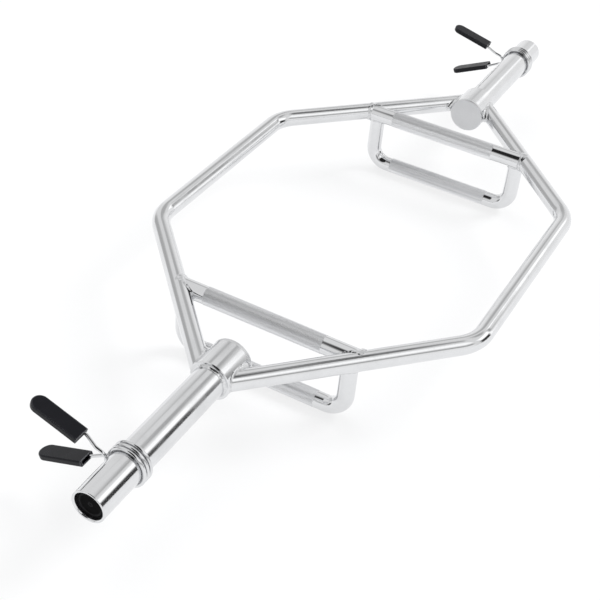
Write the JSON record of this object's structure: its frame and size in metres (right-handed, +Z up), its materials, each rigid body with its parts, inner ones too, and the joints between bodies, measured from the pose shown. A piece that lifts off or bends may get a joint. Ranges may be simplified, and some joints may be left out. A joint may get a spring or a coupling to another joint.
{
  "type": "hex trap bar",
  "caption": "Hexagonal lifting bar to stand inside, with plate sleeves at both ends, knurled high and dropped handles, and spring clips that grip the sleeves.",
  "frame": {"origin": "on the floor under the bar's middle, with the bar standing on its two dropped handles", "axes": "+X along the sleeves to the right end, +Y across the frame to the front rail, where the clips' grips point, +Z up"},
  "size_m": [1.524, 0.59, 0.166],
  "materials": {
    "chrome_tube": "polished chrome plate",
    "knurled_grip": "chrome plate over fine knurling, smooth at the ends",
    "weld_bead": "chrome plate over weld ripples",
    "satin_disc": "satin",
    "spring_wire": "bright plated spring wire",
    "grip_plastic": "semi-gloss black",
    "cap_plastic": "semi-matt black"
  },
  "bodies": {
    "frame": {"front_frame_tube": "chrome_tube", "rear_frame_tube": "chrome_tube", "left_hub": "chrome_tube", "left_hub_disc": "satin_disc", "left_hub_welds": "weld_bead", "left_sleeve": "chrome_tube", "left_sleeve_weld": "weld_bead", "left_sleeve_cap": "cap_plastic", "left_top_handle": "knurled_grip", "left_drop_handle": "knurled_grip", "left_handle_welds": "weld_bead", "right_hub": "chrome_tube", "right_hub_disc": "satin_disc", "right_hub_welds": "weld_bead", "right_sleeve": "chrome_tube", "right_sleeve_weld": "weld_bead", "right_sleeve_cap": "cap_plastic", "right_top_handle": "knurled_grip", "right_drop_handle": "knurled_grip", "right_handle_welds": "weld_bead"},
    "left_clip": {"left_clip_coil": "spring_wire"},
    "left_clip_upper_lever": {"left_clip_upper_arm": "spring_wire", "left_clip_upper_grip": "grip_plastic"},
    "left_clip_lower_lever": {"left_clip_lower_arm": "spring_wire", "left_clip_lower_grip": "grip_plastic"},
    "right_clip": {"right_clip_coil": "spring_wire"},
    "right_clip_upper_lever": {"right_clip_upper_arm": "spring_wire", "right_clip_upper_grip": "grip_plastic"},
    "right_clip_lower_lever": {"right_clip_lower_arm": "spring_wire", "right_clip_lower_grip": "grip_plastic"}
  },
  "joints": [
    {"name": "left_clip_slide", "type": "slide", "parent": "frame", "child": "left_clip", "axis": [-1, 0, 0], "range_m": [-0.1716, 0.0737]},
    {"name": "left_clip_upper_squeeze", "type": "hinge", "parent": "left_clip", "child": "left_clip_upper_lever", "pos_m": [-0.6755, 0, 0.1155], "axis": [-1, 0, 0], "range_deg": [0, 15], "stiffness_Nm_per_rad": 23, "springref_deg": -5.73, "deforming": ["left_clip_coil"]},
    {"name": "left_clip_lower_squeeze", "type": "hinge", "parent": "left_clip", "child": "left_clip_lower_lever", "pos_m": [-0.6755, 0, 0.1155], "axis": [1, 0, 0], "range_deg": [0, 15], "stiffness_Nm_per_rad": 23, "springref_deg": -5.73},
    {"name": "right_clip_slide", "type": "slide", "parent": "frame", "child": "right_clip", "axis": [1, 0, 0], "range_m": [-0.1945, 0.0508]},
    {"name": "right_clip_upper_squeeze", "type": "hinge", "parent": "right_clip", "child": "right_clip_upper_lever", "pos_m": [0.6984, 0, 0.1155], "axis": [-1, 0, 0], "range_deg": [0, 15], "stiffness_Nm_per_rad": 23, "springref_deg": -5.73, "deforming": ["right_clip_coil"]},
    {"name": "right_clip_lower_squeeze", "type": "hinge", "parent": "right_clip", "child": "right_clip_lower_lever", "pos_m": [0.6984, 0, 0.1155], "axis": [1, 0, 0], "range_deg": [0, 15], "stiffness_Nm_per_rad": 23, "springref_deg": -5.73}
  ],
  "couplings": [
    {"joint": "left_clip_lower_squeeze", "follows": "left_clip_upper_squeeze", "ratio": 1},
    {"joint": "right_clip_lower_squeeze", "follows": "right_clip_upper_squeeze", "ratio": 1}
  ]
}
